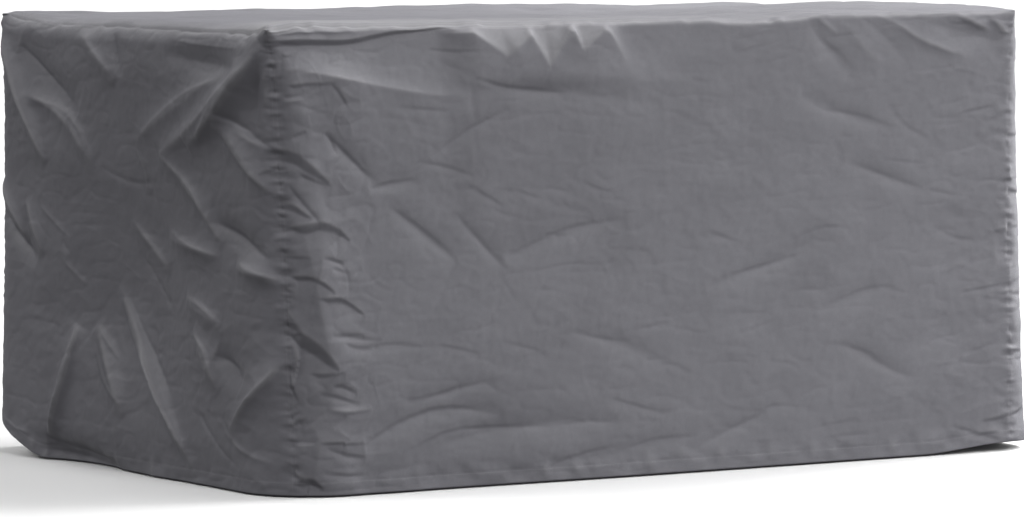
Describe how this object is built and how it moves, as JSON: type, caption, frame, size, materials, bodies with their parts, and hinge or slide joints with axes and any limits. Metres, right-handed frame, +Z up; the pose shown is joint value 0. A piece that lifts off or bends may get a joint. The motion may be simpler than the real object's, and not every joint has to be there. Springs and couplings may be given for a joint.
{
  "type": "patio furniture cover",
  "caption": "Rectangular fitted cover of coated woven cloth with soft folds, draped over garden furniture down to its feet.",
  "frame": {"origin": "underside of the top panel at its middle, where the furniture carries the cover", "axes": "+X along the long side, +Y towards the back wall, +Z up"},
  "size_m": [1.8956, 1.1947, 0.9212],
  "materials": {
    "cover_cloth": "matt coated weave"
  },
  "bodies": {
    "root": {"top_panel": "cover_cloth", "front_panel": "cover_cloth", "right_end_panel": "cover_cloth", "back_panel": "cover_cloth", "left_end_panel": "cover_cloth"}
  },
  "joints": []
}
